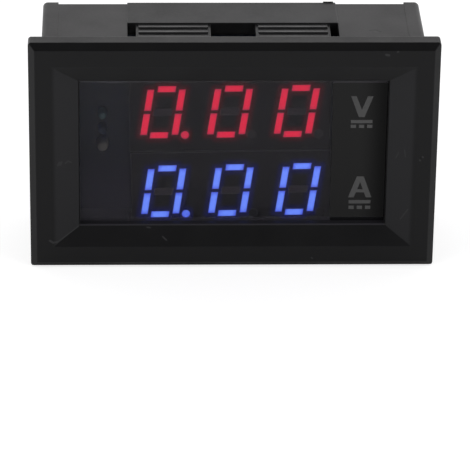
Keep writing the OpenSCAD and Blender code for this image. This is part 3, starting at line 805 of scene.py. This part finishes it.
def solder_joints_tree():
    """A joint of solder round every point: hollow-sided with a Flare over 1, domed under 1."""
    tree, start, end = new_growth("solder joints", {
        "Base radius": ("Float", 0.8 * MM), "Top radius": ("Float", 0.3 * MM),
        "Height": ("Float", 0.7 * MM), "Flare": ("Float", 2.2), "Tilt": ("Float", 0.0),
        "Seed": ("Int", 1), "Solder": ("Material", None),
    })
    given = start.outputs
    cone = add(tree, "GeometryNodeMeshCone", {
        "Vertices": 20, "Side Segments": 7, "Radius Top": given["Top radius"],
        "Radius Bottom": given["Base radius"], "Depth": given["Height"],
    })
    x, y, z = shape_place(tree)
    share = math_node(tree, "DIVIDE", z, given["Height"], clamp=True)
    spread = math_node(tree, "SUBTRACT", given["Base radius"], given["Top radius"])
    left = math_node(tree, "SUBTRACT", 1.0, share)
    straight = math_node(tree, "MULTIPLY_ADD", spread, left, given["Top radius"])
    curved = math_node(tree, "MULTIPLY_ADD", spread,
                       math_node(tree, "POWER", left, given["Flare"]), given["Top radius"])
    factor = math_node(tree, "DIVIDE", curved, straight)
    bent = moved(tree, cone.outputs["Mesh"],
                 vector_from(tree, product(tree, x, factor), product(tree, y, factor), z))
    seed = given["Seed"]
    spin = add(tree, "FunctionNodeRandomValue", data_type="FLOAT")
    feed(tree, spin, {3: math.tau, "Seed": seed})
    size = add(tree, "FunctionNodeRandomValue", data_type="FLOAT_VECTOR")
    feed(tree, size, {0: (0.90, 0.90, 0.88), 1: (1.06, 1.06, 1.0), "Seed": seed})
    joints = copies_on(tree, given["Geometry"], bent,
                       Rotation=vector_from(tree, given["Tilt"], spin.outputs[1], 0.0),
                       Scale=vector_node(tree, "MULTIPLY", size.outputs[0], own_size(tree))[0])
    close_growth(tree, joints, given["Solder"], end)
    return tree


def soldered_pads_tree():
    """A low crowned pad on every point, as wide and high as the point's own size."""
    tree, start, end = new_growth("soldered pads", {
        "Thickness": ("Float", PAD_HEIGHT), "Solder": ("Material", None),
    })
    given = start.outputs
    slab = add(tree, "GeometryNodeMeshCube", {
        "Size": (1, 1, 1), "Vertices X": 8, "Vertices Y": 2, "Vertices Z": 8,
    })
    x, y, z = shape_place(tree)
    outward = math_node(tree, "MAXIMUM", unsigned(tree, x), unsigned(tree, z))
    fall = math_node(tree, "POWER", math_node(tree, "MULTIPLY", outward, 2.0), 5.0)
    crown = math_node(tree, "MULTIPLY_ADD", fall, -0.8, 1.0)
    rise = product(tree, crown, above(tree, y, 0.0), given["Thickness"])
    crowned = moved(tree, slab.outputs["Mesh"],
                    vector_from(tree, x, math_node(tree, "SUBTRACT", rise, SINK), z))
    pads = copies_on(tree, given["Geometry"], crowned, Scale=own_size(tree))
    close_growth(tree, pads, given["Solder"], end)
    return tree


def covered_vias_tree():
    """A small ring under the lacquer on every point."""
    tree, start, end = new_growth("covered vias", {
        "Radius": ("Float", 0.24 * MM), "Thickness": ("Float", 0.06 * MM),
        "Lacquer": ("Material", None),
    })
    given = start.outputs
    round_line, section = (
        add(tree, "GeometryNodeCurvePrimitiveCircle", {"Resolution": steps, "Radius": given[size]})
        for size, steps in (("Radius", 18), ("Thickness", 8)))
    ring = add(tree, "GeometryNodeCurveToMesh", {"Curve": round_line.outputs["Curve"],
                                                 "Profile Curve": section.outputs["Curve"]})
    vias = copies_on(tree, given["Geometry"], ring.outputs[0], Rotation=(math.radians(90), 0, 0))
    close_growth(tree, vias, given["Lacquer"], end)
    return tree


def grow(name, tree, points, values, sizes=None):
    """Runs a Geometry Nodes tree on a set of points and returns the plain mesh."""
    cloud = bpy.data.meshes.new(name + " points")
    cloud.from_pydata([tuple(point) for point in points], [], [])
    attribute = cloud.attributes.new("size", "FLOAT_VECTOR", "POINT")
    for entry, size in zip(attribute.data, sizes or [(1, 1, 1)] * len(points)):
        entry.vector = size
    carrier = bpy.data.objects.new(name + " carrier", cloud)
    bpy.context.scene.collection.objects.link(carrier)
    modifier = carrier.modifiers.new("growth", "NODES")
    modifier.node_group = tree
    for socket in tree.interface.items_tree:
        if socket.in_out == "INPUT" and socket.name in values:
            modifier[socket.identifier] = values[socket.name]
    ready = carrier.evaluated_get(bpy.context.evaluated_depsgraph_get())
    mesh = bpy.data.meshes.new_from_object(ready)
    carrier.modifiers.remove(modifier)
    bpy.data.objects.remove(carrier)
    return mesh


def pin_feet(names, level):
    """Middle of each pin of some CAD nodes, at one level of the board."""
    return [((low.x + high.x) / 2, level, (low.z + high.z) / 2)
            for name in names for low, high in loose_parts(name)]


def solder_joints(name, feet, solder, tilt, seed, shape, sizes=None):
    """Piece of solder joints on some feet. The tilt is in degrees, and the shape is the radius at
    the base, the radius at the top and the height, in millimetres, and the flare."""
    base, top, height, flare = shape
    values = {"Base radius": base * MM, "Top radius": top * MM, "Height": height * MM,
              "Flare": flare, "Tilt": math.radians(tilt), "Seed": seed, "Solder": solder}
    new_piece(name, grow(name, JOINTS, feet, values, sizes), solder)


def foot_pads(names, across, along):
    """Middle and size of a pad under each separate solid of some CAD nodes."""
    middles, sizes = [], []
    for name in names:
        for low, high in loose_parts(name):
            width, height = high.x - low.x, high.z - low.z
            if width > height:
                size = (width + 2 * along, 1, height + 2 * across)
            else:
                size = (width + 2 * across, 1, height + 2 * along)
            middle = (low + high) / 2
            middles.append((middle.x, BOARD_BACK, middle.z))
            sizes.append(size)
    return middles, sizes


def clear_of_parts(places, room=0.5 * MM):
    """The places on the back of the board that have no part, lead or pin near them."""
    boxes = []
    for name in nodes.keys():
        at_front = "display" in name and not name.endswith("_pins")
        if name not in ("housing", "window_lens", "circuit_board") and not at_front:
            boxes += loose_parts(name)
    kept = []
    for place in places:
        x, z = place[0], place[2]
        free = all(x < low.x - room or x > high.x + room or z < low.z - room or z > high.z + room
                   for low, high in boxes)
        apart = all(math.hypot(x - other[0], z - other[2]) > 2 * room for other in kept)
        if free and apart:
            kept.append(place)
    return kept


def ribbon(points, width):
    """Outline of a flat line of even width through some points (x, z)."""
    points = [Vector(point) for point in points]
    sides = ([], [])
    for i, point in enumerate(points):
        before = (point - points[i - 1]).normalized() if i else None
        after = (points[i + 1] - point).normalized() if i + 1 < len(points) else None
        heading = ((before or after) + (after or before)).normalized()
        across = Vector((-heading.y, heading.x))
        stretch = 1 / max(0.5, heading.dot(after or before))
        for side, sign in zip(sides, (1, -1)):
            side.append(tuple(point + across * sign * stretch * width / 2))
    return sides[0] + sides[1][::-1]


def dog_leg(start, stop, lead):
    """Points of a line that runs straight, turns at 45 degrees and runs straight again, along Z."""
    (x0, z0), (x1, z1) = start, stop
    down = 1 if z1 > z0 else -1
    lead = min(lead, max(0.0, abs(z1 - z0) - abs(x1 - x0)))
    return [start, (x0, z0 + down * lead), (x1, z0 + down * (lead + abs(x1 - x0))), stop]


def round_outline(middle, radius, sides=16):
    """Outline of a disc."""
    return [(middle[0] + radius * math.cos(math.tau * i / sides),
             middle[1] + radius * math.sin(math.tau * i / sides)) for i in range(sides)]


def frame_lines(low, high, gap, width=SILK_LINE):
    """Four bars round a box, as printed round a package."""
    x0, x1 = low.x - gap, high.x + gap
    z0, z1 = low.z - gap, high.z + gap
    return [bar(x0 - width, z0 - width, x0, z1 + width), bar(x1, z0 - width, x1 + width, z1 + width),
            bar(x0, z0 - width, x1, z0), bar(x0, z1, x1, z1 + width)]


def side_lines(low, high, gap, width=SILK_LINE):
    """Two bars along the long sides of a small chip."""
    if high.x - low.x > high.z - low.z:
        return [bar(low.x, high.z + gap, high.x, high.z + gap + width),
                bar(low.x, low.z - gap - width, high.x, low.z - gap)]
    return [bar(high.x + gap, low.z, high.x + gap + width, high.z),
            bar(low.x - gap - width, low.z, low.x - gap, high.z)]


def board_print():
    """White component outlines with pin-one dots and polarity bars."""
    outlines = []
    for name in ("microcontroller", "amplifier"):
        low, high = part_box(name)
        for x in (low.x - 0.35 * MM, high.x + 0.20 * MM):
            outlines.append(bar(x, low.z, x + SILK_LINE, high.z))
        outlines.append(round_outline((high.x + 0.7 * MM, low.z - 0.35 * MM), 0.22 * MM))
    for name in ("voltage_trimmer_base", "current_trimmer_base"):
        outlines += frame_lines(*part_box(name), 0.4 * MM)
    for name in ("signal_header_shroud", "load_header_shroud"):
        outlines += frame_lines(*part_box(name), 0.12 * MM)
    for name in ("diode", "input_capacitor"):
        low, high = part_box(name)
        outlines += side_lines(low, high, 0.25 * MM)
        outlines.append(bar(low.x, high.z + 0.95 * MM, high.x, high.z + 0.95 * MM + 1.6 * SILK_LINE))
    low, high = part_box("regulator")
    for x in (low.x - 0.4 * MM, high.x + 0.25 * MM):
        outlines.append(bar(x, low.z, x + SILK_LINE, high.z))
    for name in ("chip_resistors", "chip_capacitors"):
        for low, high in loose_parts(name):
            outlines += side_lines(low, high, 0.14 * MM, 0.11 * MM)
    return raised_shapes("board_print", outlines, BOARD_BACK - SINK, BOARD_BACK + SILK_HEIGHT)


def copper_runs():
    """Lines of copper under the lacquer, from chips to display pins and from headers to parts."""
    thin, wide = 0.25 * MM, 0.6 * MM
    outlines = []
    chips = loose_parts("chip_resistors")
    upper_row = sorted((c for c in chips if c[0].x > 0 and c[0].z > 0), key=lambda c: -c[0].x)
    lower_row = sorted((c for c in chips if c[0].x > 0 and c[0].z < 0), key=lambda c: -c[0].x)
    pins = sorted((p for p in loose_parts("voltage_display_pins")
                   if p[1].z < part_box("microcontroller")[0].z), key=lambda p: -p[0].x)
    leads = sorted((p for p in loose_parts("amplifier_leads")
                    if p[0].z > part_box("amplifier")[0].z), key=lambda p: -p[0].x)

    def middle_x(part):
        return (part[0].x + part[1].x) / 2

    for chip, target in zip(upper_row[:2], lower_row[:2]):
        level_chip = target[1].x - target[0].x > target[1].z - target[0].z
        foot_x = target[1].x if level_chip else middle_x(target)
        start, stop = (middle_x(chip), chip[0].z), (foot_x, target[1].z)
        outlines.append(ribbon(dog_leg(start, stop, 3.0 * MM), thin))
    for chip, pin in zip(upper_row[3:6], pins[:3]):
        foot = (middle_x(pin), (pin[0].z + pin[1].z) / 2)
        outlines.append(ribbon(dog_leg((middle_x(chip), chip[0].z), foot, 0.5 * MM), thin))
    for step, (chip, lead) in enumerate(zip(lower_row[2:5][::-1], leads[:3])):
        level = lead[1].z + (0.30 + 0.45 * step) * MM
        outlines.append(ribbon([(middle_x(chip), chip[1].z), (middle_x(chip), level),
                                (middle_x(lead), level), (middle_x(lead), lead[1].z)], thin))
    low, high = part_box("signal_header_shroud")
    for name, drop in (("input_capacitor_leads", 0.0), ("diode_leads", -0.8 * MM)):
        target_low, target_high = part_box(name)
        level = target_high.z - 0.5 * MM
        outlines.append(ribbon([(low.x, level + drop), ((low.x + high.x) / 2, level + drop),
                                (high.x, level), (target_low.x, level)], wide))
    low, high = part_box("load_header_shroud")
    shunt_low, shunt_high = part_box("shunt_wire")
    for x in (shunt_low.x + 0.9 * MM, shunt_high.x - 0.9 * MM):
        outlines.append(bar(x - 1.1 * MM, low.z, x + 1.1 * MM, shunt_high.z + 0.6 * MM))
    return raised_shapes("copper_runs", outlines, BOARD_BACK - SINK, BOARD_BACK + COPPER_HEIGHT)


def raised_shapes(name, outlines, front, back):
    """Mesh of flat front-view outlines (lists of x, z), raised from one depth to another."""
    shape = bmesh.new()
    for outline in outlines:
        near = [shape.verts.new((x, front, z)) for x, z in outline]
        away = [shape.verts.new((x, back, z)) for x, z in outline]
        shape.faces.new(near)
        shape.faces.new(list(reversed(away)))
        for i in range(len(outline)):
            j = (i + 1) % len(outline)
            shape.faces.new((near[j], near[i], away[i], away[j]))
    bmesh.ops.recalc_face_normals(shape, faces=shape.faces)
    mesh = bpy.data.meshes.new(name)
    shape.to_mesh(mesh)
    shape.free()
    return mesh


def bar(x0, z0, x1, z1):
    """Outline of an upright rectangle."""
    return [(x0, z0), (x1, z0), (x1, z1), (x0, z1)]


def direct_current_sign(x0, x1, top, thick, gap):
    """A full bar over a broken one: the sign for direct current."""
    dash = (x1 - x0) * 0.245
    space = (x1 - x0 - 3 * dash) / 2
    rows = [bar(x0, top - thick, x1, top)]
    low = top - thick - gap
    for i in range(3):
        left = x0 + i * (dash + space)
        rows.append(bar(left, low - thick, left + dash, low))
    return rows


def letter_v(x0, x1, z0, z1, arm, foot):
    """V: two slanting arms that meet in a flat foot."""
    middle = (x0 + x1) / 2
    notch = z0 + (z1 - z0) * 0.35
    return [(x0, z1), (x0 + arm, z1), (middle, notch), (x1 - arm, z1), (x1, z1),
            (middle + foot / 2, z0), (middle - foot / 2, z0)]


def letter_a(x0, x1, z0, z1, arm, top):
    """A: two slanting legs under a flat top, and a crossbar that just meets them."""
    middle = (x0 + x1) / 2
    notch = z1 - (z1 - z0) * 0.27
    legs = [(x1, z0), (x1 - arm, z0), (middle, notch), (x0 + arm, z0), (x0, z0),
            (middle - top / 2, z1), (middle + top / 2, z1)]

    def inner_edge(z):
        return (middle - x0 - arm) * (1 - (z - z0) / (notch - z0))

    low, high = z0 + (z1 - z0) * 0.24, z0 + (z1 - z0) * 0.385
    crossbar = [(middle - inner_edge(low), low), (middle + inner_edge(low), low),
                (middle + inner_edge(high), high), (middle - inner_edge(high), high)]
    return [legs, crossbar]


def unit_signs():
    """The V and A of the two rows, each over the direct-current sign, printed on the window. They
    are drawn in millimetres."""
    outlines = [letter_v(13.76, 16.40, 4.27, 6.97, arm=0.66, foot=0.66)]
    outlines += direct_current_sign(13.82, 16.37, 3.90, thick=0.42, gap=0.20)
    outlines += letter_a(13.74, 16.54, -6.27, -3.50, arm=0.68, top=0.82)
    outlines += direct_current_sign(13.84, 16.44, -6.63, thick=0.45, gap=0.29)
    outlines = [[(x * MM, z * MM) for x, z in outline] for outline in outlines]
    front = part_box("window_lens")[0].y
    return raised_shapes("unit_signs", outlines, front - INK, front)


# ---- stage ----------------------------------------------------------------------------------

def pale_ground():
    """Floor that the eye sees as white with a soft shadow; glossy surfaces see a greyer tone with a
    painted glow that is stronger to the sides than right in front of the meter."""
    material = bpy.data.materials.new("pale ground")
    material.use_nodes = True
    tree = material.node_tree
    tree.nodes.clear()
    path = add(tree, "ShaderNodeLightPath")
    seen = path.outputs["Is Camera Ray"]
    tone = blend_colour(tree, seen, (0.8, 0.8, 0.8, 1), (0.42, 0.42, 0.42, 1))
    plain = add(tree, "ShaderNodeBsdfDiffuse", {"Color": tone})
    x, _, _ = axes_of(tree, on_piece(tree))
    # Painted glow seen only in reflections, stronger to the sides
    painted_side_glow = ramp(tree, unsigned(tree, x), 22 * MM, 70 * MM, 0.15, 0.36)
    mirrored = product(tree, path.outputs["Is Glossy Ray"], painted_side_glow)
    strength = math_node(tree, "MULTIPLY_ADD", seen, 0.70, mirrored)
    lift = add(tree, "ShaderNodeEmission", {"Color": WHITE, "Strength": strength})
    both = add(tree, "ShaderNodeAddShader", {0: plain.outputs[0], 1: lift.outputs[0]})
    add(tree, "ShaderNodeOutputMaterial", {"Surface": both.outputs[0]})
    return material


def make_floor(level):
    """Round floor under the meter."""
    shape = bmesh.new()
    bmesh.ops.create_circle(shape, cap_ends=True, segments=64, radius=FLOOR_RADIUS)
    mesh = bpy.data.meshes.new("floor")
    shape.to_mesh(mesh)
    shape.free()
    floor = bpy.data.objects.new("floor", mesh)
    floor.location = (0, 0, level)
    bpy.context.scene.collection.objects.link(floor)
    mesh.materials.append(pale_ground())


def soft_light(name, side):
    """A square studio light on one side that faces the meter and isn't seen itself."""
    data = bpy.data.lights.new(name, "AREA")
    data.shape = "RECTANGLE"
    data.size = LIGHT_SIZE
    data.size_y = LIGHT_SIZE
    data.energy = LIGHT_POWER
    light = bpy.data.objects.new(name, data)
    light.location = (side * LIGHT_AT[0], LIGHT_AT[1], LIGHT_AT[2])
    light.rotation_euler = (-light.location).to_track_quat("-Z", "Y").to_euler()
    light.visible_camera = False
    bpy.context.scene.collection.objects.link(light)


def studio_sky():
    """World: white to the eye and behind the meter, greyer above and in front of it."""
    world = bpy.data.worlds.new("studio")
    bpy.context.scene.world = world
    world.use_nodes = True
    tree = world.node_tree
    tree.nodes.clear()
    _, y, z = axes_of(tree, add(tree, "ShaderNodeTexCoord").outputs["Generated"])
    ahead = blend_colour(tree, ramp(tree, z, 0.25, 0.9), FRONT_TONE, UPPER_TONE)
    tone = blend_colour(tree, ramp(tree, y, -0.1, 0.75), ahead, BACK_TONE)
    seen = add(tree, "ShaderNodeLightPath").outputs["Is Camera Ray"]
    sky = add(tree, "ShaderNodeBackground", {"Color": tone})
    white = add(tree, "ShaderNodeBackground", {"Color": WHITE})
    mix = add(tree, "ShaderNodeMixShader", {0: seen, 1: sky.outputs[0], 2: white.outputs[0]})
    add(tree, "ShaderNodeOutputWorld", {"Surface": mix.outputs[0]})


def make_camera():
    """Camera that looks down on the front from a little left of the middle."""
    yaw, pitch, roll = (math.radians(a) for a in (CAMERA_YAW, CAMERA_PITCH, CAMERA_ROLL))
    ahead = Vector((-math.sin(yaw) * math.cos(pitch), math.cos(yaw) * math.cos(pitch), -math.sin(pitch)))
    right = Vector((math.cos(yaw), math.sin(yaw), 0))
    up = right.cross(ahead)
    rolled_right = right * math.cos(roll) + up * math.sin(roll)
    rolled_up = up * math.cos(roll) - right * math.sin(roll)
    data = bpy.data.cameras.new("camera")
    data.lens = CAMERA_LENS
    data.sensor_width = 36
    data.clip_start = 0.01
    data.clip_end = 20
    camera = bpy.data.objects.new("camera", data)
    turn = Matrix((rolled_right, rolled_up, -ahead)).transposed()
    camera.matrix_world = Matrix.Translation(CAMERA_AT) @ turn.to_4x4()
    bpy.context.scene.collection.objects.link(camera)
    bpy.context.scene.camera = camera


# ---- making ---------------------------------------------------------------------------------

make_camera()
make_floor(cad_box[0][2])
studio_sky()
soft_light("left light", -1)
soft_light("right light", 1)

DISPLAY_PINS = ("voltage_display_pins", "current_display_pins")
TERMINALS = ("voltage_trimmer_terminals", "current_trimmer_terminals")
PACKAGES = ("microcontroller", "amplifier", "regulator", "diode")

dress("housing", black_moulding())
dress("window_lens", smoked_window())
for row_name, row in ROWS.items():
    dress(row_name + "_display_shell", display_front(row_name + " display black", row))
    dress(row_name + "_display_segments", lit_resin(row_name + " light", row))
tin = metal("tinned metal", TIN)
for name in DISPLAY_PINS + TERMINALS + tuple(package + "_leads" for package in PACKAGES) + (
        "input_capacitor_leads", "chip_end_caps", "signal_header_pins", "load_header_pins"):
    dress(name, tin)
dress("circuit_board", solder_mask())

solder = metal("solder", TIN, rough=(0.26, 0.42), scale=1400)
flux = fluxed_solder()
JOINTS = solder_joints_tree()
solder_joints("display_solder_joints", pin_feet(DISPLAY_PINS, BOARD_BACK - SINK), solder,
              tilt=-90, seed=11, shape=(0.80, 0.36, 0.74, 2.3))
signal_feet = pin_feet(["signal_header_pins"], BOARD_FRONT + SINK)
lowest_foot = min(foot[2] for foot in signal_feet)
signal_swell = [(1.4, 1.4, 1.0) if foot[2] == lowest_foot else (1, 1, 1) for foot in signal_feet]
solder_joints("signal_solder_joints", signal_feet, flux,
              tilt=90, seed=5, shape=(0.60, 0.40, 1.60, 0.5), sizes=signal_swell)
solder_joints("load_solder_joints", pin_feet(["load_header_pins"], BOARD_FRONT + SINK), solder,
              tilt=90, seed=8, shape=(1.5, 0.7, 1.1, 1.8))

middles, sizes = foot_pads(("microcontroller_leads", "amplifier_leads"), 0.06 * MM, 0.22 * MM)
more = foot_pads(("regulator_leads", "diode_leads", "input_capacitor_leads", "chip_end_caps") + TERMINALS,
                 0.10 * MM, 0.26 * MM)
new_piece("component_pads",
          grow("component pads", soldered_pads_tree(), middles + more[0],
               {"Thickness": PAD_HEIGHT, "Solder": solder}, sizes + more[1]),
          solder)

copper = moulded("lacquered copper", COPPER_BLUE, COPPER_BLUE, edge=0.02, grain=900, bump=0.2,
                 gloss=(0.26, 0.36), specular=0.35)
new_piece("copper_runs", copper_runs(), copper)
draws = random.Random(7)
reach_x, reach_z = VIA_SPREAD
via_places = [(draws.uniform(-reach_x, reach_x) * MM, BOARD_BACK, draws.uniform(-reach_z, reach_z) * MM)
              for _ in range(VIA_TRIES)]
new_piece("covered_vias",
          grow("covered vias", covered_vias_tree(), clear_of_parts(via_places),
               {"Radius": 0.28 * MM, "Thickness": 0.07 * MM, "Lacquer": copper}),
          copper)
silk = moulded("white board print", SILK_WHITE, SILK_WHITE, edge=0.01, grain=5000, bump=0.05,
               gloss=(0.5, 0.65), specular=0.3)
new_piece("board_print", board_print(), silk)

# Plain moulded finishes: name, colour, colour of the painted edge highlight, settings and the nodes that
# have them
for finish, colour, edge_highlight, settings, parts in (
    ("package black", (0.014, 0.014, 0.015, 1), (0.03, 0.03, 0.03, 1),
     {"edge": 0.04, "grain": 4200, "bump": 0.2, "gloss": (0.45, 0.6)}, PACKAGES),
    ("capacitor orange", (0.62, 0.27, 0.035, 1), (0.7, 0.36, 0.08, 1),
     {"edge": 0.05, "grain": 3000, "bump": 0.1, "gloss": (0.3, 0.45)}, ["input_capacitor"]),
    ("chip black", (0.012, 0.012, 0.014, 1), (0.02, 0.02, 0.02, 1),
     {"edge": 0.02, "gloss": (0.25, 0.4)}, ["chip_resistors"]),
    ("chip tan", (0.30, 0.19, 0.10, 1), (0.36, 0.24, 0.14, 1),
     {"edge": 0.03, "gloss": (0.4, 0.55)}, ["chip_capacitors"]),
    ("trimmer white", (0.66, 0.67, 0.68, 1), (0.75, 0.75, 0.75, 1),
     {"edge": 0.05, "gloss": (0.25, 0.4)}, ["voltage_trimmer_base", "current_trimmer_base"]),
    ("natural nylon", NYLON, (0.8, 0.78, 0.7, 1),
     {"grain": 2200, "bump": 0.08, "gloss": (0.3, 0.45)},
     ["signal_header_shroud", "load_header_shroud"]),
):
    moulding = moulded(finish, colour, edge_highlight, **settings)
    for name in parts:
        dress(name, moulding)
dress("shunt_wire", metal("resistance wire", (0.52, 0.40, 0.31, 1), rough=(0.3, 0.45),
                          scale=900, brushed=(1, 4, 4)))
rotor_metal = metal("rotor metal", (0.66, 0.60, 0.46, 1), rough=(0.25, 0.4), scale=2500)
for name in ("voltage_trimmer_rotor", "current_trimmer_rotor"):
    dress(name, rotor_metal)

sign_print = moulded("sign print", SIGN_GREY, SIGN_GREY, edge=0.01, grain=6000, bump=0.02,
                     gloss=(0.4, 0.6), specular=0.3, drift=0.3)
new_piece("unit_signs", unit_signs(), sign_print)

bpy.context.scene.view_settings.view_transform = "Standard"
